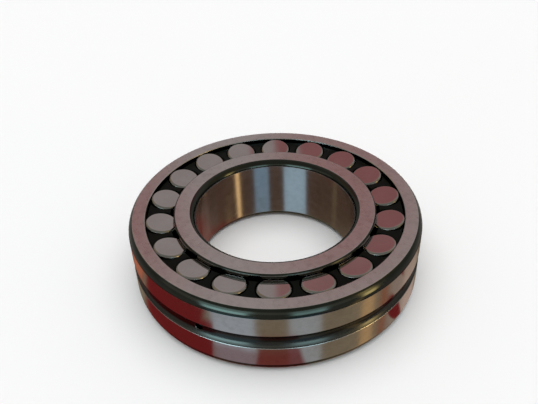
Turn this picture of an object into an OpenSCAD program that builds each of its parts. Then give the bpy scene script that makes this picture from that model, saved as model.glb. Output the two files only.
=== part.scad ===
// Double-row spherical roller bearing, 60 x 110 x 28 mm.
// The origin is the bearing's centre and +Z runs along the bore. Profiles are drawn in the
// (radius, height) half-plane and turned about Z, and a row's own frame is that half-plane
// tilted by the contact angle: x out through the roller's centre, y along the roller.

/* [Envelope] */
// Bore of the inner ring
bore_d = 60; // [56:0.5:62]
// Outside diameter of the outer ring
outside_d = 110; // [109:0.5:116]
// Width of both rings
width = 28; // [28:0.5:31]

/* [Rollers] */
// Rollers in each row
rollers_per_row = 18; // [12:1:18]
// Largest diameter of the barrel
roller_d = 12.4; // [11:0.1:12.4]
// Length of a roller
roller_l = 10.6; // [9.6:0.1:10.7]
// Profile radius along the barrel
roller_profile_r = 49; // [40:0.5:49]
// Rounding of the end faces
roller_edge = 0.6; // [0.3:0.1:0.8]
// Tilt of each row's line of contact
contact_angle = 9.8; // [9.4:0.1:10]
// Azimuth of the first upper roller
upper_phase = -92; // [-110:1:-70]

/* [Outer ring] */
// Radius of the spherical raceway
sphere_r = 50.5; // [50.3:0.1:51]
// Radial size of the outside corners
outer_corner_radial = 1.7; // [1.2:0.1:2.2]
// Axial size of the outside corners
outer_corner_axial = 3.2; // [2:0.1:3.6]
// Break at the mouth of the raceway
mouth_break = 0.3; // [0.1:0.1:0.6]
// Width of the lubrication groove
groove_w = 6; // [4:0.5:7]
// Depth of the lubrication groove
groove_depth = 1.2; // [0.6:0.1:1.5]
// Number of lubrication holes
oil_holes = 3; // [1:1:6]
// Diameter of a lubrication hole
oil_hole_d = 3; // [2:0.5:3.5]
// Azimuth of the first lubrication hole
oil_hole_phase = -120; // [-180:5:180]

/* [Inner ring] */
// Diameter over the retaining ribs
rib_d = 76.2; // [75.6:0.1:76.6]
// Diameter of the land between the raceways
land_d = 77; // [76.8:0.1:77.2]
// Radial size of the bore corners
bore_corner_radial = 2.1; // [1.2:0.1:2.4]
// Axial size of the bore corners
bore_corner_axial = 2.4; // [1.5:0.1:3.5]
// Rounding of the ribs
rib_edge = 0.7; // [0.3:0.1:0.9]

/* [Cages and guide ring] */
// Height of a cage's prong ends above the middle of the bearing
prong_top = 12.3; // [11:0.1:12.6]
// Gap between a cage's outer sphere and the raceway
cage_sphere_gap = 0.8; // [0.5:0.1:1.5]
// How far the prongs reach inside the line of roller axes
prong_reach = 3.2; // [2.4:0.1:3.6]
// Chamfer around the mouth of each pocket
mouth_chamfer = 0.4; // [0.2:0.1:0.6]
// Outside diameter of the guide ring
guide_d = 84.4; // [82:0.1:85]

/* [Clearances] */
// Between a roller and each raceway
raceway_gap = 0.12; // [0.1:0.01:0.2]
// Between a roller and its pocket
pocket_gap = 0.25; // [0.2:0.01:0.4]
// At the roller ends, to the guide ring and the cage
end_gap = 0.2; // [0.15:0.01:0.3]
// Between a roller and the rib
rib_gap = 0.3; // [0.2:0.01:0.4]
// Under the guide ring and around it
guide_gap = 0.15; // [0.1:0.01:0.2]

/* [Hidden] */
function roller_name(row, i) = str(row, "_roller_", i < 9 ? "0" : "", i + 1);
ROLLERS = [0 : rollers_per_row - 1];
$fn = 120;
bore_r = bore_d / 2;
outside_r = outside_d / 2;
half_w = width / 2;
roller_r = roller_d / 2;
rib_r = rib_d / 2;
land_r = land_d / 2;
guide_r = guide_d / 2;
pitch = 360 / rollers_per_row;
lower_phase = upper_phase + pitch / 2;
centre_r = sphere_r - raceway_gap - roller_r;
raceway_floor = centre_r - roller_r - raceway_gap;
raceway_profile_r = roller_profile_r + 0.5;
mouth_r = sqrt(sphere_r * sphere_r - half_w * half_w) + mouth_break;
groove_arc_r = (groove_w * groove_w / 4 + groove_depth * groove_depth) / (2 * groove_depth);
cage_r = sphere_r - cage_sphere_gap;
cage_bore_r = guide_r + guide_gap;
cage_foot = 0.15;
prong_foot = 2;
overlap = 0.1;
steel = [0.60, 0.57, 0.57];
bright_steel = [0.72, 0.68, 0.69];
dark_steel = [0.13, 0.15, 0.13];
iron = [0.35, 0.34, 0.33];

// Height of the plane across a roller's end, end_y along the row's own frame, at radius r
function end_plane_z(end_y, r) = (end_y + r * sin(contact_angle)) / cos(contact_angle);

// What a rounded corner takes off a sharp one at the origin, with the material in -X -Y.
// An ease of 1 is an arc tangent to the longer side, and more is flatter. The square overlaps it.
module corner_cut(radial, axial, ease = 1.2) {
    chord = sqrt(radial * radial + axial * axial);
    arc_r = ease * chord * chord / (2 * min(radial, axial));
    depth = sqrt(arc_r * arc_r - chord * chord / 4);
    difference() {
        translate([-radial - overlap, -axial - overlap])
            square([radial + overlap + 1, axial + overlap + 1]);
        translate([-radial / 2 - depth * axial / chord, -axial / 2 - depth * radial / chord])
            circle(r = arc_r);
    }
}

module both_ends() {
    children();
    mirror([0, 1]) children();
}

module row_frame() rotate(contact_angle) children();

module outer_ring_profile() {
    difference() {
        translate([mouth_r - 3, -half_w]) square([outside_r - mouth_r + 3, width]);
        circle(r = sphere_r, $fn = 360);
        translate([outside_r + groove_arc_r - groove_depth, 0]) circle(r = groove_arc_r);
        both_ends() {
            translate([outside_r, half_w]) corner_cut(outer_corner_radial, outer_corner_axial);
            translate([mouth_r, half_w]) polygon([[0, 0], [-2, -2], [-2, 1], [0, 1]]);
        }
    }
}

module outer_ring() color(steel) {
    difference() {
        rotate_extrude() outer_ring_profile();
        for (i = [0 : oil_holes - 1])
            rotate([0, 90, oil_hole_phase + i * 360 / oil_holes])
                translate([0, 0, sphere_r - 2]) cylinder(d = oil_hole_d, h = 8, $fn = 48);
    }
}

// One raceway with the side of its rib, in the row's own frame
module raceway_cut() {
    intersection() {
        translate([raceway_floor + raceway_profile_r, 0]) circle(r = raceway_profile_r, $fn = 360);
        translate([raceway_floor - 2, -roller_l / 2 - 0.6])
            square([12, roller_l + 0.6 + rib_gap]);
    }
}

module inner_ring_profile() {
    difference() {
        translate([bore_r, -half_w]) square([land_r - bore_r, width]);
        both_ends() {
            row_frame() raceway_cut();
            translate([rib_r, half_w / 2]) square([land_r - rib_r + 1, half_w]);
            translate([rib_r, half_w]) corner_cut(rib_edge, rib_edge);
            translate([bore_r, half_w]) mirror([1, 0])
                corner_cut(bore_corner_radial, bore_corner_axial);
        }
    }
}

module inner_ring() color(steel) rotate_extrude() inner_ring_profile();

// Floats between the rows and keeps the rollers square to the raceways
module guide_ring() color(iron) {
    inner_r = land_r + guide_gap;
    side_y = -roller_l / 2 - end_gap;
    rotate_extrude() polygon([
        [inner_r, -end_plane_z(side_y, inner_r)],
        [guide_r, -end_plane_z(side_y, guide_r)],
        [guide_r, end_plane_z(side_y, guide_r)],
        [inner_r, end_plane_z(side_y, inner_r)]
    ]);
}

// Radius of a roller's barrel at height y from its middle
function barrel_r(y) = roller_r - roller_profile_r + sqrt(roller_profile_r * roller_profile_r - y * y);

// A barrel around Z with its middle at the origin, grown by grow and cut off at low and high
module barrel(grow, low, high) {
    profile_r = roller_profile_r + grow;
    rotate_extrude() intersection() {
        translate([roller_r + grow - profile_r, 0]) circle(r = profile_r, $fn = 360);
        translate([0, low]) square([roller_r + grow + 1, high - low]);
    }
}

module roller() color(bright_steel) {
    shoulder_r = barrel_r(roller_l / 2 - roller_edge);
    edge_radial = shoulder_r - barrel_r(roller_l / 2) + roller_edge;
    difference() {
        barrel(0, -roller_l / 2, roller_l / 2);
        for (end = [0, 1]) mirror([0, 0, end]) rotate_extrude()
            translate([shoulder_r, roller_l / 2]) corner_cut(edge_radial, roller_edge, 2);
    }
}

// Puts a piece that stands at the origin onto the upper row's line, at one azimuth
module on_upper_row(azimuth) {
    rotate([0, 0, azimuth]) rotate([0, -contact_angle, 0]) translate([centre_r, 0, 0]) children();
}

module upper_roller(i) on_upper_row(upper_phase + i * pitch) roller();

module lower_roller(i) mirror([0, 0, 1]) on_upper_row(lower_phase + i * pitch) roller();

module cage_profile() {
    difference() {
        intersection() {
            circle(r = cage_r, $fn = 360);
            translate([cage_bore_r - 5, cage_foot]) square([15, prong_top - cage_foot]);
            row_frame() translate([centre_r - prong_reach, -half_w]) square([20, width + half_w]);
        }
        translate([cage_bore_r - 6, -overlap]) square([6, prong_foot + overlap]);
    }
}

// A rim between the rows with a prong between each two rollers, open at the outer end
module comb_cage(phase) color(dark_steel) {
    mouth_x = (centre_r - prong_top * sin(contact_angle)) / cos(contact_angle);
    mouth_y = (prong_top - centre_r * sin(contact_angle)) / cos(contact_angle);
    pocket_mouth_r = barrel_r(mouth_y) + pocket_gap;
    difference() {
        rotate_extrude() cage_profile();
        for (i = ROLLERS) {
            on_upper_row(phase + i * pitch) barrel(pocket_gap, -roller_l / 2 - end_gap, roller_l);
            rotate(phase + i * pitch) translate([mouth_x, 0, prong_top - 2 * mouth_chamfer])
                cylinder(r1 = pocket_mouth_r - mouth_chamfer,
                         r2 = pocket_mouth_r + 2 * mouth_chamfer, h = 3 * mouth_chamfer);
        }
    }
}

module upper_cage() comb_cage(upper_phase);

module lower_cage() mirror([0, 0, 1]) comb_cage(lower_phase);

outer_ring();
inner_ring();
guide_ring();
upper_cage();
lower_cage();
for (i = ROLLERS) upper_roller(i);
for (i = ROLLERS) lower_roller(i);
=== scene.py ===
import math

import bmesh
import bpy
from mathutils import Matrix, Vector


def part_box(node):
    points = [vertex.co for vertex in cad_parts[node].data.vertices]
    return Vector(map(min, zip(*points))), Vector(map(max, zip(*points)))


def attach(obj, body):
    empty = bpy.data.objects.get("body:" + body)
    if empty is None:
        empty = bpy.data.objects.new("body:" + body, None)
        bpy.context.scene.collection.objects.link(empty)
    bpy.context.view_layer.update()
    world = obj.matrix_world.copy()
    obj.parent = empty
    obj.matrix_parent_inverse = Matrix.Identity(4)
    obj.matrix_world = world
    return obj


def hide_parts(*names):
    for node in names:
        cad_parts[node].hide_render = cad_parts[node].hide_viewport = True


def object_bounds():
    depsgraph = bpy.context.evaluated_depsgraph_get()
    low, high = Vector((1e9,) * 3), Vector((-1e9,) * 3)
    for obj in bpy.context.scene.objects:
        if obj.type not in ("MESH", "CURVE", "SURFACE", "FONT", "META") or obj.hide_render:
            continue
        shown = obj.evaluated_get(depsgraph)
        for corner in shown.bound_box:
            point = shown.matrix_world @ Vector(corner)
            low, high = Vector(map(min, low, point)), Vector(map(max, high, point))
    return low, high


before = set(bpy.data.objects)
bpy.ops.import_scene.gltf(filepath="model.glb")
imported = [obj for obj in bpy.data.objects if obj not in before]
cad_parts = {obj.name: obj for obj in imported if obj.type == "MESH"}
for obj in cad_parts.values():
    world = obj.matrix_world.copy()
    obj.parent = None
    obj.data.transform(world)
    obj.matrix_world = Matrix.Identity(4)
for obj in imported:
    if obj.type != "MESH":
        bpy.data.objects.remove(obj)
CAD_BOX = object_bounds()

# Lengths are in metres. Profiles are drawn in millimetres, as (radius, height) points.
MM = 0.001

# Shape, the same values as the CAD part's
OUTSIDE_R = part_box("outer_ring")[1].x / MM
HALF_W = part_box("outer_ring")[1].z / MM
SPHERE_R = 50.5
MOUTH_R = 48.82
MOUTH_BREAK = 0.233
OUTER_CORNER = (1.7, 3.2)
GROOVE_HALF_W = 3.0
GROOVE_DEPTH = 1.2
OIL_HOLES = 3
OIL_HOLE_R = 1.5
OIL_HOLE_PHASE = -120
BORE_R = 30.0
RIB_R = 38.1
LAND_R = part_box("inner_ring")[1].x / MM
BORE_CORNER = (2.1, 2.4)
RIB_EDGE = (0.7, 0.7)
RING_EASE = 1.2
CONTACT_ANGLE = 9.8
ROLLERS_PER_ROW = 18
ROLLER_R = 6.2
ROLLER_HALF_L = 5.3
ROLLER_PROFILE_R = 49.0
ROLLER_EDGE = 0.6
ROLLER_EASE = 2.0
RACEWAY_GAP = 0.12
CENTRE_R = SPHERE_R - RACEWAY_GAP - ROLLER_R
RACEWAY_FLOOR = CENTRE_R - ROLLER_R - RACEWAY_GAP
RACEWAY_PROFILE_R = ROLLER_PROFILE_R + 0.5
RIB_GAP = 0.3
GUIDE_GAP = 0.15
GUIDE_INNER_R = LAND_R + GUIDE_GAP
GUIDE_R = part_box("guide_ring")[1].x / MM
END_GAP = 0.2
CAGE_R = SPHERE_R - 0.8
CAGE_BORE_R = GUIDE_R + GUIDE_GAP
CAGE_FOOT = 0.15
PRONG_FOOT = 2.0
PRONG_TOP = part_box("upper_cage")[1].z / MM
PRONG_REACH = 3.2
POCKET_GAP = 0.25
MOUTH_CHAMFER = 0.4

# Detail that the CAD part leaves out: the flare of a lubrication hole, where a raceway of the inner
# ring meets the land, and the quarter turns the rollers stopped at, one after another
OIL_HOLE_FLARE = 0.25
RACEWAY_START = -5.34
ROLLER_TURNS = (0, 1, 3, 2, 1, 0, 2)

# Steps round a whole turn
RING_STEPS = 288
CAGE_STEPS = 360
GUIDE_STEPS = 240
ROLLER_STEPS = 96
POCKET_STEPS = 72
OIL_HOLE_STEPS = 48

# How much of each side a softened edge takes, and how close to it the next point holds the surface
SOFTEN = 0.1
ROLLER_SOFTEN = 0.06
CAGE_SOFTEN = 0.25
POCKET_SOFTEN = 0.03
OIL_HOLE_SOFTEN = 0.02
HOLD = 0.06
# The steepest crease that still shades smoothly, and the size in metres of a sliver left by a cut
SHARP = math.radians(34)
SLIVER = 2e-7

TILT = math.radians(CONTACT_ANGLE)


# ---------------------------------------------------------------- profiles

def arc(centre, radius, start, end, steps):
    """Points on an arc from the angle start to the angle end, in degrees, both included."""
    points = []
    for i in range(steps + 1):
        a = math.radians(start + (end - start) * i / steps)
        points.append((centre[0] + radius * math.cos(a), centre[1] + radius * math.sin(a)))
    return points


def arc_between(centre, start, end, steps):
    """The shorter arc about a centre from one point to another."""
    a = math.degrees(math.atan2(start[1] - centre[1], start[0] - centre[0]))
    b = math.degrees(math.atan2(end[1] - centre[1], end[0] - centre[0]))
    turn = (b - a + 180) % 360 - 180
    radius = math.dist(centre, start)
    return arc(centre, radius, a, a + turn, steps)


def corner_arc(radius, height, size, inward=False, steps=10, ease=RING_EASE):
    """The eased corner of a ring at (radius, height), from the end face to the side.

    An ease of 1 is an arc tangent to the longer side, and more is flatter."""
    radial, axial = size
    chord = math.hypot(radial, axial)
    arc_r = ease * chord * chord / (2 * min(radial, axial))
    depth = math.sqrt(arc_r * arc_r - chord * chord / 4)
    side = -1 if inward else 1
    centre = (
        radius - side * (radial / 2 + depth * axial / chord),
        height - axial / 2 - depth * radial / chord,
    )
    start = (radius - side * radial, height)
    end = (radius, height - axial)
    return arc_between(centre, start, end, steps)


def mirrored(points):
    """The same points below the middle plane, in the opposite order."""
    return [(r, -z) for r, z in reversed(points)]


def tilted(x, y):
    """A point of the upper row's own frame as (radius, height)."""
    return (
        x * math.cos(TILT) - y * math.sin(TILT),
        x * math.sin(TILT) + y * math.cos(TILT),
    )


def lengths(points):
    """Distance along a line of points to each of them."""
    total = [0.0]
    for p, q in zip(points, points[1:]):
        total.append(total[-1] + math.dist(p, q))
    return total


def at_length(points, total, want):
    """The point at a distance along a line of points."""
    for i in range(1, len(points)):
        if want <= total[i] or i == len(points) - 1:
            span = total[i] - total[i - 1]
            t = (want - total[i - 1]) / span if span else 0
            p, q = points[i - 1], points[i]
            return (p[0] + (q[0] - p[0]) * t, p[1] + (q[1] - p[1]) * t)


def trimmed(points, cut):
    """A line of points without its first and last cut, with a point just inside each new end."""
    total = lengths(points)
    whole = total[-1]
    cut = min(cut, whole * 0.3)
    held = [HOLD] if whole - 2 * cut > 4 * HOLD else []
    keep = [cut] + [cut + h for h in held]
    keep += [s for s in total if cut + 2 * HOLD < s < whole - cut - 2 * HOLD]
    keep += [whole - cut - h for h in held] + [whole - cut]
    return [at_length(points, total, s) for s in keep]


def softened(sections, cut=SOFTEN, closed=True):
    """Joins (finish, points) sections into one line, with each joint rounded off.

    It returns the points and the finish of the stretch that starts at each of them."""
    points, finishes = [], []
    lines = [trimmed(line, cut) for _, line in sections]
    count = len(sections)
    for i, (finish, line) in enumerate(sections):
        body = lines[i]
        if not closed and i == 0:
            body = [line[0]] + body
        if not closed and i == count - 1:
            body = body + [line[-1]]
        points.extend(body)
        finishes.extend([finish] * (len(body) - 1))
        if not closed and i == count - 1:
            break
        a, corner, b = lines[i][-1], line[-1], lines[(i + 1) % count][0]
        for step in (1, 2, 3):
            t = step / 4
            points.append((
                (1 - t) ** 2 * a[0] + 2 * t * (1 - t) * corner[0] + t * t * b[0],
                (1 - t) ** 2 * a[1] + 2 * t * (1 - t) * corner[1] + t * t * b[1],
            ))
        finishes.extend(["edge"] * 4)
    return points, finishes


# ---------------------------------------------------------------- meshes

def new_object(name, data):
    thing = bpy.data.objects.new(name, data)
    bpy.context.scene.collection.objects.link(thing)
    return thing


def edge_nearness(points, finishes, reach=1.2):
    """How near each profile point is to a softened edge: 1 on it, and 0 from reach away."""
    edges = [p for p, f in zip(points, finishes + finishes[:1]) if f == "edge"]
    near = []
    for p in points:
        d = min((math.dist(p, e) for e in edges), default=reach)
        near.append(max(0.0, 1 - d / reach))
    return near


def finish_mesh(mesh, materials, indices):
    """Gives the mesh its materials, one for each face's index, and smooth shading."""
    for material in materials:
        mesh.materials.append(material)
    mesh.polygons.foreach_set("material_index", indices)
    mesh.shade_smooth()
    mesh.update()


def turned(points, steps):
    """The points of a profile at each step of a whole turn, in metres."""
    verts = []
    for i in range(steps):
        a = 2 * math.pi * i / steps
        verts.extend((r * MM * math.cos(a), r * MM * math.sin(a), z * MM) for r, z in points)
    return verts


def turned_object(name, verts, faces, near, finishes, finish_materials):
    """An object of turned faces. near is each point's share of wear, and finishes each face's name."""
    names = list(finish_materials)
    mesh = bpy.data.meshes.new(name)
    mesh.from_pydata(verts, [], faces)
    worn = mesh.attributes.new("edge", "FLOAT", "POINT")
    worn.data.foreach_set("value", near)
    finish_mesh(mesh, finish_materials.values(), [names.index(finish) for finish in finishes])
    return new_object(name, mesh)


def lathe_ring(name, sections, finish_materials, steps=RING_STEPS, cut=SOFTEN):
    """A ring turned from closed profile sections, each with its own finish."""
    points, finishes = softened(sections, cut)
    near = edge_nearness(points, finishes)
    count = len(points)
    faces = []
    for i in range(steps):
        here, there = i * count, (i + 1) % steps * count
        for j in range(count):
            k = (j + 1) % count
            faces.append((here + j, there + j, there + k, here + k))
    verts = turned(points, steps)
    return turned_object(name, verts, faces, near * steps, finishes * steps, finish_materials)


def lathe_solid(name, sections, finish_materials, steps, cut):
    """A solid turned from an open profile whose first and last points are on the axis."""
    points, finishes = softened(sections, cut, closed=False)
    near = edge_nearness(points, finishes)
    rows = points[1:-1]
    count = len(rows)
    verts = turned(rows, steps)
    low, high = len(verts), len(verts) + 1
    verts.append((0, 0, points[0][1] * MM))
    verts.append((0, 0, points[-1][1] * MM))
    faces = []
    for i in range(steps):
        here, there = i * count, (i + 1) % steps * count
        faces.append((low, there, here))
        for j in range(count - 1):
            faces.append((here + j, there + j, there + j + 1, here + j + 1))
        faces.append((high, here + count - 1, there + count - 1))
    wear = near[1:-1] * steps + [near[0], near[-1]]
    return turned_object(name, verts, faces, wear, finishes * steps, finish_materials)


def joined(name, things):
    """One object with the meshes of several, in place."""
    verts, faces, indices = [], [], []
    for thing in things:
        base = len(verts)
        verts.extend(thing.matrix_world @ v.co for v in thing.data.vertices)
        for face in thing.data.polygons:
            faces.append([base + v for v in face.vertices])
            indices.append(face.material_index)
    mesh = bpy.data.meshes.new(name)
    mesh.from_pydata(verts, [], faces)
    finish_mesh(mesh, things[0].data.materials, indices)
    for thing in things:
        bpy.data.objects.remove(thing)
    return new_object(name, mesh)


def cut_away(thing, cutter):
    """Takes cutter out of thing's mesh, and removes cutter."""
    change = thing.modifiers.new("cut", "BOOLEAN")
    change.operation = "DIFFERENCE"
    change.solver = "EXACT"
    change.object = cutter
    graph = bpy.context.evaluated_depsgraph_get()
    cut = bpy.data.meshes.new_from_object(thing.evaluated_get(graph))
    clean = bmesh.new()
    clean.from_mesh(cut)
    bmesh.ops.dissolve_degenerate(clean, dist=SLIVER, edges=clean.edges)
    clean.to_mesh(cut)
    clean.free()
    thing.modifiers.clear()
    thing.data = cut
    bpy.data.objects.remove(cutter)


def place(thing, node, body):
    """The piece stands for a CAD node, which it hides, and moves with its body."""
    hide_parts(node)
    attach(thing, body)


# ---------------------------------------------------------------- shader helpers

def feed(tree, socket, value):
    """Links a socket to another one, or sets it to a value."""
    if isinstance(value, bpy.types.NodeSocket):
        tree.links.new(value, socket)
    else:
        socket.default_value = value


def add(tree, kind, inputs=None, **settings):
    """A new node with its settings, and its inputs set or linked."""
    made = tree.nodes.new(kind)
    for key, value in settings.items():
        setattr(made, key, value)
    for key, value in (inputs or {}).items():
        feed(tree, made.inputs[key], value)
    return made


def calc(tree, operation, a, b=0.0, c=0.0):
    return add(tree, "ShaderNodeMath", {0: a, 1: b, 2: c}, operation=operation).outputs[0]


def product(tree, *shares):
    """All the shares multiplied, so 1 only where every one is 1."""
    whole = shares[0]
    for share in shares[1:]:
        whole = calc(tree, "MULTIPLY", whole, share)
    return whole


def largest(tree, *shares):
    """The largest of the shares, so 1 where any one is 1."""
    whole = shares[0]
    for share in shares[1:]:
        whole = calc(tree, "MAXIMUM", whole, share)
    return whole


def distance(tree, x, y):
    """The length of the level vector (x, y)."""
    squares = calc(tree, "MULTIPLY_ADD", x, x, calc(tree, "MULTIPLY", y, y))
    return calc(tree, "SQRT", squares)


def remap(tree, value, low, high, to_low=0.0, to_high=1.0):
    """value from low..high to to_low..to_high, smoothly and held at the ends."""
    inputs = {"Value": value, 1: low, 2: high, 3: to_low, 4: to_high}
    return add(tree, "ShaderNodeMapRange", inputs, interpolation_type="SMOOTHSTEP").outputs[0]


def window(tree, places, edges):
    """1 inside all of the edges, and 0 outside them.

    An edge is the name of a place, where the window starts and where it is whole, and
    the shares at those two, if they aren't 0 and 1."""
    return product(tree, *(remap(tree, places[name], *edge) for name, *edge in edges))


def blend_colours(tree, share, a, b):
    """Colour a where share is 0, and colour b where it is 1."""
    return add(tree, "ShaderNodeMix", {0: share, 6: a, 7: b}, data_type="RGBA").outputs[2]


def object_place(tree):
    """The object's own coordinates, as one vector socket."""
    return add(tree, "ShaderNodeTexCoord").outputs["Object"]


def turned_place(tree, around, close):
    """Where a point is on a turned surface: round Z and up Z as one vector, and out from Z.

    The angle goes in as a unit vector, so no seam shows."""
    x, y, z = add(tree, "ShaderNodeSeparateXYZ", {0: object_place(tree)}).outputs
    radius = distance(tree, x, y)
    safe = calc(tree, "MAXIMUM", radius, 1e-5)
    vector = add(tree, "ShaderNodeCombineXYZ", {
        0: calc(tree, "MULTIPLY", calc(tree, "DIVIDE", x, safe), around),
        1: calc(tree, "MULTIPLY", calc(tree, "DIVIDE", y, safe), around),
        2: calc(tree, "MULTIPLY", z, close),
    }).outputs[0]
    return vector, calc(tree, "MULTIPLY", radius, close)


def streaks(tree, around, close, detail):
    """Lines that run round the axis, close together, and change a few times on their way."""
    vector, w = turned_place(tree, around, close)
    inputs = {"Vector": vector, "W": w, "Scale": 1.0, "Detail": detail, "Roughness": 0.6}
    return add(tree, "ShaderNodeTexNoise", inputs, noise_dimensions="4D").outputs[0]


def clouds(tree, scale, detail, seed=0.0):
    """Soft blotches of about 1 / scale metres."""
    inputs = {"Vector": object_place(tree), "W": seed, "Scale": scale, "Detail": detail,
              "Roughness": 0.55}
    return add(tree, "ShaderNodeTexNoise", inputs, noise_dimensions="4D").outputs[0]


def wheel_marks(tree, centre, around, close):
    """The arcs a grinding wheel leaves on a flat end, about a point well outside it."""
    inputs = {0: object_place(tree), 1: centre}
    from_wheel = add(tree, "ShaderNodeVectorMath", inputs, operation="SUBTRACT").outputs[0]
    x, y, _ = add(tree, "ShaderNodeSeparateXYZ", {0: from_wheel}).outputs
    away = distance(tree, x, y)
    vector = add(tree, "ShaderNodeCombineXYZ", {
        0: calc(tree, "MULTIPLY", calc(tree, "DIVIDE", x, away), around),
        1: calc(tree, "MULTIPLY", calc(tree, "DIVIDE", y, away), around),
        2: calc(tree, "MULTIPLY", away, close),
    }).outputs[0]
    inputs = {"Vector": vector, "Scale": 1.0, "Detail": 4.0, "Roughness": 0.65}
    return add(tree, "ShaderNodeTexNoise", inputs).outputs[0]


def new_material(name):
    material = bpy.data.materials.new(name)
    material.use_nodes = True
    tree = material.node_tree
    tree.nodes.clear()
    shader = tree.nodes.new("ShaderNodeBsdfPrincipled")
    out = tree.nodes.new("ShaderNodeOutputMaterial")
    tree.links.new(shader.outputs[0], out.inputs[0])
    return material, tree, shader


def shaded(colour, factor):
    """A colour made lighter or darker, as a shader takes it."""
    return (*(min(0.95, c * factor) for c in colour), 1)


# How close the steel's stains and tool lines lie, per metre, and how often a line changes on its way
BLOTCHES = 70.0
MOTTLES = 420.0
FINE_TURNED = (9.0, 2600.0)
COARSE_TURNED = (3.0, 700.0)
FINE_GROUND = (12.0, 2400.0)
COARSE_GROUND = (5.0, 500.0)


def tool_lines(tree, wheel):
    """Fine and coarse lines: about the point wheel, where there is one, or round the axis."""
    if wheel:
        return wheel_marks(tree, wheel, *FINE_GROUND), wheel_marks(tree, wheel, *COARSE_GROUND)
    return streaks(tree, *FINE_TURNED, 3.0), streaks(tree, *COARSE_TURNED, 2.0)


def steel(name, colour, stain, rough, spread, grain, worn, metallic=1.0, seed=0.0, wheel=None,
          gloss=0.5):
    """Ground or polished steel: stains, tool lines and brighter worn edges.

    The lines run round the axis, or about the point wheel where a wheel ground the flat end."""
    material, tree, shader = new_material(name)
    blotch = clouds(tree, BLOTCHES, 4.0, seed)
    mottle = clouds(tree, MOTTLES, 3.0, seed + 3.0)
    fine, coarse = tool_lines(tree, wheel)
    edge = add(tree, "ShaderNodeAttribute", attribute_name="edge").outputs["Fac"]
    stained = product(tree, remap(tree, blotch, 0.42, 0.72), 0.7)
    base = blend_colours(tree, stained, (*colour, 1), (*stain, 1))
    base = blend_colours(tree, remap(tree, fine, 0.35, 0.75, 0.0, 0.5), base, shaded(colour, 0.86))
    rubbed = product(tree, remap(tree, edge, 0.55, 1.0), remap(tree, mottle, 0.3, 0.6), worn)
    base = blend_colours(tree, rubbed, base, shaded(colour, 1.25))
    tree.links.new(base, shader.inputs["Base Color"])
    uneven = calc(tree, "MULTIPLY_ADD", coarse, spread, rough - spread * 0.5)
    uneven = calc(tree, "MULTIPLY_ADD", mottle, spread * 0.6, uneven)
    tree.links.new(uneven, shader.inputs["Roughness"])
    bump = add(tree, "ShaderNodeBump", {"Height": fine, "Strength": 0.35, "Distance": grain})
    tree.links.new(bump.outputs[0], shader.inputs["Normal"])
    shader.inputs["Metallic"].default_value = metallic
    shader.inputs["Specular IOR Level"].default_value = gloss
    return material


# ---------------------------------------------------------------- materials

# Each is a name, a colour, its stains' colour, its roughness and how far that varies, the height of
# its tool lines in metres, and how much of its worn edges is brighter.
FACE = steel("ground_face", (0.56, 0.53, 0.525), (0.46, 0.42, 0.405), 0.25, 0.12, 2.0e-6, 0.5,
             wheel=(0.085, 0.06, 0))
LAND = steel("ground_land", (0.60, 0.56, 0.55), (0.50, 0.45, 0.42), 0.13, 0.06, 1.0e-6, 0.3, seed=11)
# Corners, ribs and the inner land: partly the dark finish of unground steel, partly a painted dark
# reflection, far darker than that finish alone
CORNER = steel("tumbled_corner_painted_dark_reflection", (0.055, 0.060, 0.051), (0.035, 0.039, 0.031), 0.11, 0.06, 1.0e-6, 0.6)
EDGE = steel("worn_edge", (0.60, 0.58, 0.56), (0.45, 0.42, 0.40), 0.20, 0.08, 1.0e-6, 0.3)
# Groove and oil holes: partly the dark finish of turned steel, partly a painted dark reflection, and
# in the holes painted shade
GROOVE = steel("turned_groove_painted_dark_reflection", (0.068, 0.070, 0.064), (0.042, 0.042, 0.038), 0.18, 0.10, 4.0e-6, 0.2)
RACEWAY = steel("honed_raceway", (0.58, 0.57, 0.56), (0.48, 0.46, 0.45), 0.07, 0.04, 5.0e-7, 0.2)
ROLLER_END = steel("roller_end", (0.53, 0.50, 0.495), (0.47, 0.435, 0.43), 0.065, 0.05, 6.0e-7, 0.4,
                   wheel=(0.016, 0.011, 0))
ROLLER_RIM = steel("roller_rim", (0.42, 0.41, 0.38), (0.34, 0.33, 0.30), 0.12, 0.05, 6.0e-7, 0.2)
BARREL = steel("roller_barrel", (0.62, 0.60, 0.60), (0.52, 0.50, 0.50), 0.07, 0.03, 5.0e-7, 0.2)
CAGE = steel("oiled_black_cage", (0.0018, 0.0028, 0.0018), (0.001, 0.0015, 0.001), 0.30, 0.16, 4.0e-6,
             0.5, 0.0, gloss=0.09)
IRON = steel("turned_iron", (0.24, 0.23, 0.22), (0.15, 0.14, 0.13), 0.42, 0.12, 6.0e-6, 0.4)

RING_FINISHES = {"raceway": RACEWAY, "edge": EDGE, "face": FACE, "corner": CORNER}
CAGE_FINISHES = {"skin": CAGE, "edge": CAGE}


# ---------------------------------------------------------------- pieces

def outer_ring_sections():
    face_in = (MOUTH_R, HALF_W)
    lip = (MOUTH_R - MOUTH_BREAK, HALF_W - MOUTH_BREAK)
    corner = corner_arc(OUTSIDE_R, HALF_W, OUTER_CORNER)
    lower_corner = mirrored(corner)
    groove_r = (GROOVE_HALF_W ** 2 + GROOVE_DEPTH ** 2) / (2 * GROOVE_DEPTH)
    groove_centre = (OUTSIDE_R + groove_r - GROOVE_DEPTH, 0)
    groove_top = (OUTSIDE_R, GROOVE_HALF_W)
    groove_low = (OUTSIDE_R, -GROOVE_HALF_W)
    mouth = math.degrees(math.asin(lip[1] / SPHERE_R))
    return [
        ("raceway", arc((0, 0), SPHERE_R, -mouth, mouth, 48)),
        ("edge", [lip, face_in]),
        ("face", [face_in, corner[0]]),
        ("corner", corner),
        ("land", [corner[-1], groove_top]),
        ("groove", arc_between(groove_centre, groove_top, groove_low, 24)),
        ("land", [groove_low, lower_corner[0]]),
        ("corner", lower_corner),
        ("face", [lower_corner[-1], (MOUTH_R, -HALF_W)]),
        ("edge", mirrored([lip, face_in])),
    ]


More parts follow.
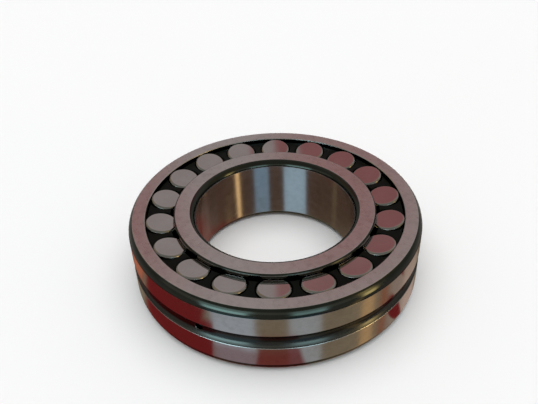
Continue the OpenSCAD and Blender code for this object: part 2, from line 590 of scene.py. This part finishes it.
def oil_hole_cutters(finish_materials):
    """A drill with a flare where it leaves the groove's floor, for each lubrication hole."""
    floor = OUTSIDE_R - GROOVE_DEPTH
    start, end = SPHERE_R - 3, OUTSIDE_R + 3
    wide = OIL_HOLE_R + OIL_HOLE_FLARE
    outline = [(0, start), (OIL_HOLE_R, start), (OIL_HOLE_R, floor - 0.1), (wide, floor + 0.15),
               (wide, end), (0, end)]
    profile = [("hole", [p, q]) for p, q in zip(outline, outline[1:])]
    drills = []
    for i in range(OIL_HOLES):
        drill = lathe_solid(f"drill_{i}", profile, finish_materials, OIL_HOLE_STEPS, OIL_HOLE_SOFTEN)
        turn = math.radians(OIL_HOLE_PHASE + i * 360 / OIL_HOLES)
        drill.matrix_world = Matrix.Rotation(turn, 4, "Z") @ Matrix.Rotation(math.pi / 2, 4, "Y")
        drills.append(drill)
    bpy.context.view_layer.update()
    return joined("drills", drills)


def make_outer_ring():
    finishes = {**RING_FINISHES, "land": LAND, "groove": GROOVE, "hole": GROOVE}
    ring = lathe_ring("outer_ring_steel", outer_ring_sections(), finishes)
    cut_away(ring, oil_hole_cutters(finishes))
    ring.data.set_sharp_from_angle(angle=SHARP)
    place(ring, "outer_ring", "outer_ring")


def inner_ring_upper_half():
    """The inner ring's outline from the middle of the land up over the face to the bore."""
    steps = 24
    raceway = []
    for i in range(steps + 1):
        y = RACEWAY_START + (ROLLER_HALF_L + RIB_GAP - RACEWAY_START) * i / steps
        x = RACEWAY_FLOOR + RACEWAY_PROFILE_R - math.sqrt(RACEWAY_PROFILE_R ** 2 - y * y)
        raceway.append(tilted(x, y))
    raceway[0] = (LAND_R, raceway[0][1])
    foot = raceway[-1]
    shoulder = (RIB_R, foot[1] + (RIB_R - foot[0]) * math.tan(TILT))
    rib = corner_arc(RIB_R, HALF_W, RIB_EDGE, steps=6)
    rib.reverse()
    bore = corner_arc(BORE_R, HALF_W, BORE_CORNER, inward=True)
    return [
        ("raceway", raceway),
        ("raceway", [foot, shoulder]),
        ("corner", [shoulder, rib[0]]),
        ("corner", rib),
        ("face", [rib[-1], bore[0]]),
        ("corner", bore),
    ]


def inner_ring_sections():
    upper = inner_ring_upper_half()
    lower = [(finish, mirrored(line)) for finish, line in reversed(upper)]
    land_end = upper[0][1][0]
    bore_end = upper[-1][1][-1]
    land = [("corner", [mirrored([land_end])[0], land_end])]
    bore = [("bore", [bore_end, mirrored([bore_end])[0]])]
    return land + upper + bore + lower


def make_inner_ring():
    finishes = {**RING_FINISHES, "bore": LAND}
    ring = lathe_ring("inner_ring_steel", inner_ring_sections(), finishes)
    place(ring, "inner_ring", "inner_ring")


def end_plane_z(end_y, radius):
    """Height at a radius of the plane across a roller's end, end_y along the row's own frame."""
    return (end_y + radius * math.sin(TILT)) / math.cos(TILT)


def make_guide_ring():
    side_y = -ROLLER_HALF_L - END_GAP
    outer = (GUIDE_R, end_plane_z(side_y, GUIDE_R))
    inner = (GUIDE_INNER_R, end_plane_z(side_y, GUIDE_INNER_R))
    corners = [mirrored([outer])[0], outer, inner, mirrored([inner])[0]]
    sections = [("side", [corners[i], corners[(i + 1) % 4]]) for i in range(4)]
    ring = lathe_ring("guide_ring_iron", sections, {"side": IRON, "edge": EDGE}, GUIDE_STEPS)
    place(ring, "guide_ring", "guide_ring")


def barrel_r(y):
    """Radius of a roller's barrel at height y from its middle."""
    return ROLLER_R - ROLLER_PROFILE_R + math.sqrt(ROLLER_PROFILE_R ** 2 - y * y)


def roller_sections():
    """A roller's outline from the middle of its lower end up to the middle of its upper end."""
    shoulder_y = ROLLER_HALF_L - ROLLER_EDGE
    shoulder_r = barrel_r(shoulder_y)
    size = (shoulder_r - barrel_r(ROLLER_HALF_L) + ROLLER_EDGE, ROLLER_EDGE)
    top = corner_arc(shoulder_r, ROLLER_HALF_L, size, steps=6, ease=ROLLER_EASE)
    top.reverse()
    side = [(barrel_r(y), y) for y in (shoulder_y * (i / 9 - 1) for i in range(19))]
    end = [(top[-1][0] * i / 6, -ROLLER_HALF_L) for i in range(7)]
    return [
        ("end", end),
        ("rim", mirrored(top)),
        ("barrel", side),
        ("rim", top),
        ("end", mirrored(end)),
    ]


def middle_of(node):
    low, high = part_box(node)
    return (low + high) / 2


def azimuth_of(node):
    middle = middle_of(node)
    return math.atan2(middle.y, middle.x)


def make_rollers():
    finishes = {"end": ROLLER_END, "rim": ROLLER_RIM, "barrel": BARREL, "edge": ROLLER_RIM}
    model = lathe_solid("roller_model", roller_sections(), finishes, ROLLER_STEPS, ROLLER_SOFTEN)
    mesh = model.data
    bpy.data.objects.remove(model)
    for row, lean in (("upper", -TILT), ("lower", TILT)):
        for i in range(ROLLERS_PER_ROW):
            node = f"{row}_roller_{i + 1:02d}"
            spin = ROLLER_TURNS[i % len(ROLLER_TURNS)] * math.pi / 2
            roller = new_object(f"{node}_steel", mesh)
            roller.matrix_world = (
                Matrix.Translation(middle_of(node))
                @ Matrix.Rotation(azimuth_of(node), 4, "Z")
                @ Matrix.Rotation(lean, 4, "Y")
                @ Matrix.Rotation(spin, 4, "Z")
            )
            place(roller, node, node)


def cage_sections():
    """A comb cage of the upper row before its pockets are cut."""
    rim = (math.sqrt(CAGE_R ** 2 - CAGE_FOOT ** 2), CAGE_FOOT)
    top = (math.sqrt(CAGE_R ** 2 - PRONG_TOP ** 2), PRONG_TOP)
    reach = CENTRE_R - PRONG_REACH
    prong_in = ((reach - PRONG_TOP * math.sin(TILT)) / math.cos(TILT), PRONG_TOP)
    foot_in = ((reach - PRONG_FOOT * math.sin(TILT)) / math.cos(TILT), PRONG_FOOT)
    inner = []
    for i in range(17):
        t = i / 16
        inner.append((
            prong_in[0] + (foot_in[0] - prong_in[0]) * t,
            prong_in[1] + (foot_in[1] - prong_in[1]) * t,
        ))
    step = (CAGE_BORE_R, PRONG_FOOT)
    heel = (CAGE_BORE_R, CAGE_FOOT)
    return [
        ("skin", arc_between((0, 0), rim, top, 32)),
        ("skin", [top, prong_in]),
        ("skin", inner),
        ("skin", [foot_in, step]),
        ("skin", [step, heel]),
        ("skin", [heel, rim]),
    ]


def pocket_sections():
    """A roller's barrel with the pocket's clearance, from the guide ring's side outward."""
    profile_r = ROLLER_PROFILE_R + POCKET_GAP
    low, high = -ROLLER_HALF_L - END_GAP, 2 * ROLLER_HALF_L
    side = []
    for i in range(41):
        y = low + (high - low) * i / 40
        side.append((ROLLER_R + POCKET_GAP - profile_r + math.sqrt(profile_r ** 2 - y * y), y))
    return [
        ("skin", [(0, low), side[0]]),
        ("skin", side),
        ("skin", [side[-1], (0, high)]),
    ]


def mouth_sections():
    """The rounded flare at a pocket's mouth, upright, with its heights above the middle plane."""
    mouth_y = (PRONG_TOP - CENTRE_R * math.sin(TILT)) / math.cos(TILT)
    mouth_r = barrel_r(mouth_y) + POCKET_GAP
    size = MOUTH_CHAMFER
    flare = arc((mouth_r + size, PRONG_TOP - size), size, 180, 90, 6)
    low, high = PRONG_TOP - 2.0 * size, PRONG_TOP + 0.5
    foot = (flare[0][0] - 0.2, low)
    rim = (flare[-1][0] + 0.05, high)
    return [
        ("skin", [(0, low), foot]),
        ("skin", [foot, flare[0]]),
        ("skin", flare),
        ("skin", [flare[-1], rim]),
        ("skin", [rim, (0, high)]),
    ]


def pocket_cutter(name, sections, turns, stand):
    """One cutter for all the upper row's pockets: a solid that stands as given, at each turn."""
    parts = []
    for i, turn in enumerate(turns):
        part = lathe_solid(f"{name}_{i}", sections, CAGE_FINISHES, POCKET_STEPS, POCKET_SOFTEN)
        part.matrix_world = Matrix.Rotation(turn, 4, "Z") @ stand
        parts.append(part)
    bpy.context.view_layer.update()
    return joined(name, parts)


def make_cages():
    """The upper comb cage, and its mesh again turned over for the lower row."""
    turns = [azimuth_of(f"upper_roller_{i + 1:02d}") for i in range(ROLLERS_PER_ROW)]
    in_row = Matrix.Rotation(-TILT, 4, "Y") @ Matrix.Translation((CENTRE_R * MM, 0, 0))
    mouth_x = (CENTRE_R - PRONG_TOP * math.sin(TILT)) / math.cos(TILT)
    upright = Matrix.Translation((mouth_x * MM, 0, 0))
    upper = lathe_ring("upper_cage_comb", cage_sections(), CAGE_FINISHES, CAGE_STEPS, CAGE_SOFTEN)
    cut_away(upper, pocket_cutter("pockets", pocket_sections(), turns, in_row))
    cut_away(upper, pocket_cutter("mouths", mouth_sections(), turns, upright))
    upper.data.set_sharp_from_angle(angle=SHARP)
    lower = new_object("lower_cage_comb", upper.data)
    # Half a turn about X carries azimuth a to -a, so a turn about Z brings the pockets to the rollers.
    ahead = azimuth_of("lower_roller_01") + turns[0]
    lower.matrix_world = Matrix.Rotation(ahead, 4, "Z") @ Matrix.Rotation(math.pi, 4, "X")
    place(upper, "upper_cage", "upper_cage")
    place(lower, "lower_cage", "lower_cage")


# ---------------------------------------------------------------- floor and cards

RED_CLOTH = (0.160, 0.016, 0.016, 1)
COPPER = (0.42, 0.14, 0.08, 1)
RED_WALL = (0.335, 0.145, 0.145, 1)
FLOOR_COLOUR = (0.86, 0.86, 0.86, 1)
FLOOR_HALF = 4.0
FLOOR_DROP = 0.0002
MAT_HALF = 0.16
MAT_DROP = 0.0001
WALL_BACK = 0.20
WALL_HALF = 0.25
WALL_LOW = 0.03
WALL_HIGH = 0.40

# The cloth's ovals, as centre and radii: the broad part at the left and two corners at the right
OVALS = (
    ((-0.072, -0.045), (0.033, 0.029)),
    ((0.0505, -0.0350), (0.0062, 0.0040)),
    ((0.0710, -0.0240), (0.0060, 0.0025)),
)
# Its other parts, as the windows that window() makes. slant is the distance from the slanted edge
# at the left, and reach is the radius with an uneven rim.
SLANT = (-0.643, 0.766)
BESIDE = (("slant", -0.0245, -0.0225), ("radius", 0.0735, 0.0705), ("x", -0.010, -0.020),
          ("y", -0.020, -0.034))
FRONT_STRIP = (("reach", 0.064, 0.060), ("x", 0.014, -0.004, 0.0, 0.55), ("y", -0.020, -0.034))
FRONT_PATCH = (("x", -0.0115, -0.0085), ("x", 0.0105, 0.0075), ("y", -0.020, -0.034),
               ("reach", 0.074, 0.060, 0.0, 0.85))
UNDER_BORE = (("radius", 0.0235, 0.0285), ("x", -0.008, -0.020), ("radius", 0.034, 0.032, 0.0, 0.6))
COPPER_PART = (("x", -0.056, -0.064), ("y", -0.018, -0.010), ("y", 0.016, 0.000))
CLOTH_RIM = (("radius", 0.088, 0.079),)
# The two red things behind
RIGHT_THING = (("folded", 0.000, 0.006), ("x", 0.100, 0.075, 0.3, 1.0), ("x", 0.18, 0.13),
               ("z", 0.090, 0.115), ("z", 0.115, 0.170, 0.8, 1.0), ("z", 0.255, 0.225))
LEFT_THING = (("x", -0.060, -0.080), ("x", -0.20, -0.15), ("z", 0.100, 0.140),
              ("z", 0.260, 0.230, 0.0, 0.9))


def flat_object(name, corners, material):
    mesh = bpy.data.meshes.new(name)
    mesh.from_pydata(corners, [], [(0, 1, 2, 3)])
    mesh.materials.append(material)
    thing = new_object(name, mesh)
    return thing


def level_square(half, drop):
    """Corners of a level square, drop below the bearing's lower face."""
    z = CAD_BOX[0].z - drop
    return [(-half, -half, z), (half, -half, z), (half, half, z), (-half, half, z)]


def studio_floor():
    """A wide pale floor that stays out of the steel's reflections."""
    material, _, shader = new_material("pale_floor")
    shader.inputs["Base Color"].default_value = FLOOR_COLOUR
    shader.inputs["Roughness"].default_value = 0.9
    shader.inputs["Specular IOR Level"].default_value = 0.1
    floor = flat_object("studio_floor", level_square(FLOOR_HALF, FLOOR_DROP), material)
    floor.visible_glossy = False


def card_tree(name):
    """An empty material, its node tree, and where the card is, as x, y and z."""
    material = bpy.data.materials.new(name)
    material.use_nodes = True
    tree = material.node_tree
    tree.nodes.clear()
    spot = add(tree, "ShaderNodeSeparateXYZ", {0: object_place(tree)}).outputs
    return material, tree, spot


def show_glow(tree, share, colour):
    """Glows in the colour where share is 1 and lets the room through where it is 0."""
    clear = tree.nodes.new("ShaderNodeBsdfTransparent")
    glow = add(tree, "ShaderNodeEmission", {"Color": colour, "Strength": 1.0})
    mixed = add(tree, "ShaderNodeMixShader", {0: share})
    tree.links.new(clear.outputs[0], mixed.inputs[1])
    tree.links.new(glow.outputs[0], mixed.inputs[2])
    out = tree.nodes.new("ShaderNodeOutputMaterial")
    tree.links.new(mixed.outputs[0], out.inputs[0])


def hidden_card(name, corners, material):
    """A card that only the steel sees."""
    card = flat_object(name, corners, material)
    card.visible_camera = False
    card.visible_diffuse = False
    card.visible_shadow = False
    card.visible_transmission = False


def oval(tree, x, y, centre, radii, wander):
    """1 inside an oval with an uneven rim on the table, and 0 outside it."""
    dx = calc(tree, "DIVIDE", calc(tree, "SUBTRACT", x, centre[0]), radii[0])
    dy = calc(tree, "DIVIDE", calc(tree, "SUBTRACT", y, centre[1]), radii[1])
    away = calc(tree, "MULTIPLY_ADD", dx, dx, calc(tree, "MULTIPLY", dy, dy))
    return remap(tree, calc(tree, "ADD", away, wander), 1.2, 0.80)


def red_mat():
    """A red cloth for the steel to mirror. It is out of the camera's sight, under and left of it."""
    material, tree, (x, y, _) = card_tree("red_cloth")
    radius = distance(tree, x, y)
    wander = calc(tree, "MULTIPLY_ADD", clouds(tree, 45.0, 2.0), 0.5, -0.25)
    reach = calc(tree, "MULTIPLY_ADD", wander, 0.020, radius)
    slant = calc(tree, "MULTIPLY_ADD", x, SLANT[0], calc(tree, "MULTIPLY", y, SLANT[1]))
    places = {"x": x, "y": y, "radius": radius, "reach": reach, "slant": slant}
    ovals = [oval(tree, x, y, centre, radii, wander) for centre, radii in OVALS]
    windows = [window(tree, places, part) for part in (BESIDE, FRONT_STRIP, FRONT_PATCH, UNDER_BORE)]
    copper = window(tree, places, COPPER_PART)
    cloth = largest(tree, *ovals, *windows, copper)
    share = product(tree, cloth, window(tree, places, CLOTH_RIM))
    show_glow(tree, share, blend_colours(tree, copper, RED_CLOTH, COPPER))
    hidden_card("red_mat", level_square(MAT_HALF, MAT_DROP), material)


def red_wall():
    """What stands behind the bearing, two soft red things, as a card the steel mirrors."""
    material, tree, (x, _, z) = card_tree("red_things")
    fold = clouds(tree, 18.0, 2.0)
    folded = calc(tree, "MULTIPLY_ADD", fold, 0.006, calc(tree, "SUBTRACT", x, 0.003))
    places = {"x": x, "z": z, "folded": folded}
    things = [window(tree, places, thing) for thing in (LEFT_THING, RIGHT_THING)]
    show_glow(tree, largest(tree, *things), RED_WALL)
    corners = [(-WALL_HALF, WALL_BACK, WALL_LOW), (WALL_HALF, WALL_BACK, WALL_LOW),
               (WALL_HALF, WALL_BACK, WALL_HIGH), (-WALL_HALF, WALL_BACK, WALL_HIGH)]
    hidden_card("red_wall", corners, material)


# ---------------------------------------------------------------- light

# The room the steel mirrors. Each glow is a colour, the azimuth of its middle and its half width,
# its lowest and highest elevation, and the softness of its rim, all in degrees.
ROOM = (0.235, 0.235, 0.220)
LOW_TABLE = (0.300, 0.280, 0.260)
FAR_TABLE = (0.072, 0.042, 0.028)
NEAR_TABLE = (0.210, 0.175, 0.118)
FLOOR_LIGHT = (0.56, 0.56, 0.56)
BACKGROUND = (0.95, 0.95, 0.95)
# The elevation where each level of the room starts above the near table, how soft its edge is,
# and its colour
LEVELS = ((-40, 0.02, FAR_TABLE), (-30, 0.03, LOW_TABLE), (0, 0.10, ROOM))
GLOWS = (
    # the wall behind
    ((0.405, 0.37, 0.36), 90, 78, 14, 90, 12),
    # the lit strip of room before it, warmer by the lamp and at the left
    ((0.50, 0.47, 0.42), -95, 82, 7, 26, 4),
    ((0.33, 0.275, 0.19), -12, 26, 16, 70, 8),
    ((0.33, 0.26, 0.18), 150, 16, 12, 60, 8),
    # two windows and a lamp, less bright above than below
    ((1.40, 1.90, 2.05), -126, 18, 8, 25, 3),
    ((1.20, 1.70, 1.85), -70, 12, 8, 23, 3),
    ((2.80, 2.00, 0.90), -27, 6, 8, 26, 3),
    ((2.90, 4.40, 4.90), -126, 15, -9, 9, 3),
    ((1.90, 2.80, 3.10), -70, 11, -9, 9, 3),
    ((7.00, 5.00, 2.30), -27, 5, -9, 9, 3),
    # their reflections in the table, beside the bearing
    ((0.37, 0.42, 0.46), -127, 18, -75, -40, 2),
    ((0.34, 0.37, 0.38), -69, 13, -75, -40, 2),
    ((0.52, 0.34, 0.16), -14, 6, -75, -40, 3),
    ((0.27, 0.10, 0.055), 3, 4, -75, -40, 3),
    ((0.30, 0.235, 0.19), 18, 9, -75, -40, 3),
    ((0.48, 0.36, 0.30), 42, 14, -75, -40, 5),
    # and under its bore
    ((0.34, 0.49, 0.59), -123, 17, -40, -14, 2),
    ((0.19, 0.29, 0.38), -72, 11, -40, -14, 2),
    ((1.15, 0.78, 0.36), -34, 3, -40, -14, 2),
    ((0.13, 0.095, 0.055), 166, 4, -40, -30, 3),
)


def glow_mask(tree, direction, middle, half, low, high, soft):
    """1 inside a window of azimuth and elevation, and 0 outside it."""
    x, y, z = direction
    half, low, high, rim = (math.radians(a) for a in (half, low, high, soft))
    level = calc(tree, "MAXIMUM", distance(tree, x, y), 1e-4)
    toward = calc(tree, "MULTIPLY", x, math.cos(math.radians(middle)))
    toward = calc(tree, "MULTIPLY_ADD", y, math.sin(math.radians(middle)), toward)
    off = calc(tree, "ARCCOSINE", calc(tree, "MINIMUM", calc(tree, "DIVIDE", toward, level), 1.0))
    rise = calc(tree, "ARCSINE", z)
    return product(tree, remap(tree, off, half - rim, half + rim, 1.0, 0.0),
                   remap(tree, rise, low - rim, low + rim),
                   remap(tree, rise, high - rim, high + rim, 1.0, 0.0))


def world_light():
    """A room with two windows and a lamp over a dark table, for the steel to mirror.

    The camera sees it as plain pale, the same as the floor, and it lights the floor evenly."""
    world = bpy.data.worlds.new("studio")
    bpy.context.scene.world = world
    world.use_nodes = True
    tree = world.node_tree
    tree.nodes.clear()
    facing = add(tree, "ShaderNodeTexCoord").outputs["Generated"]
    direction = add(tree, "ShaderNodeSeparateXYZ", {0: facing}).outputs
    colour = (*NEAR_TABLE, 1)
    for edge, soft, above in LEVELS:
        height = math.sin(math.radians(edge))
        share = remap(tree, direction[2], height - soft, height + soft)
        colour = blend_colours(tree, share, colour, (*above, 1))
    for glow, middle, half, low, high, soft in GLOWS:
        mask = glow_mask(tree, direction, middle, half, low, high, soft)
        colour = blend_colours(tree, mask, colour, (*glow, 1))
    path = add(tree, "ShaderNodeLightPath")
    colour = blend_colours(tree, path.outputs["Is Diffuse Ray"], colour, (*FLOOR_LIGHT, 1))
    colour = blend_colours(tree, path.outputs["Is Camera Ray"], colour, (*BACKGROUND, 1))
    out = tree.nodes.new("ShaderNodeOutputWorld")
    background = add(tree, "ShaderNodeBackground", {"Color": colour, "Strength": 1.0})
    tree.links.new(background.outputs[0], out.inputs[0])


def overhead_light():
    """A wide soft light from above that the steel doesn't mirror."""
    data = bpy.data.lights.new("overhead_softbox", "SUN")
    data.energy = 1.75
    data.angle = math.radians(70)
    lamp = new_object("overhead_softbox", data)
    lamp.location = (0, 0, 1)
    lamp.visible_glossy = False


# ---------------------------------------------------------------- camera

CAMERA_ELEVATION = math.radians(36.8)
CAMERA_ROLL = math.radians(-2.1)
CAMERA_DISTANCE = 0.2437
CAMERA_LEFT = 0.00209
CAMERA_UP = 0.00134


def make_camera():
    """Looks along +Y and down, at a point just left of and above the middle of the upper face."""
    data = bpy.data.cameras.new("camera")
    data.lens = 43.2
    data.sensor_width = 36
    data.sensor_fit = "HORIZONTAL"
    data.clip_start = 0.01
    camera = new_object("camera", data)
    right = Vector((1, 0, 0))
    down = Vector((0, -math.sin(CAMERA_ELEVATION), -math.cos(CAMERA_ELEVATION)))
    forward = Vector((0, math.cos(CAMERA_ELEVATION), -math.sin(CAMERA_ELEVATION)))
    across = math.cos(CAMERA_ROLL) * right - math.sin(CAMERA_ROLL) * down
    below = math.sin(CAMERA_ROLL) * right + math.cos(CAMERA_ROLL) * down
    aim = Vector((0, 0, HALF_W * MM))
    spot = aim - forward * CAMERA_DISTANCE - across * CAMERA_LEFT - below * CAMERA_UP
    turn = Matrix((across, -below, -forward)).transposed().to_4x4()
    camera.matrix_world = Matrix.Translation(spot) @ turn
    bpy.context.scene.camera = camera


# ---------------------------------------------------------------- scene

make_outer_ring()
make_inner_ring()
make_guide_ring()
make_cages()
make_rollers()
studio_floor()
red_mat()
red_wall()
world_light()
overhead_light()
make_camera()
bpy.context.scene.view_settings.view_transform = "Standard"
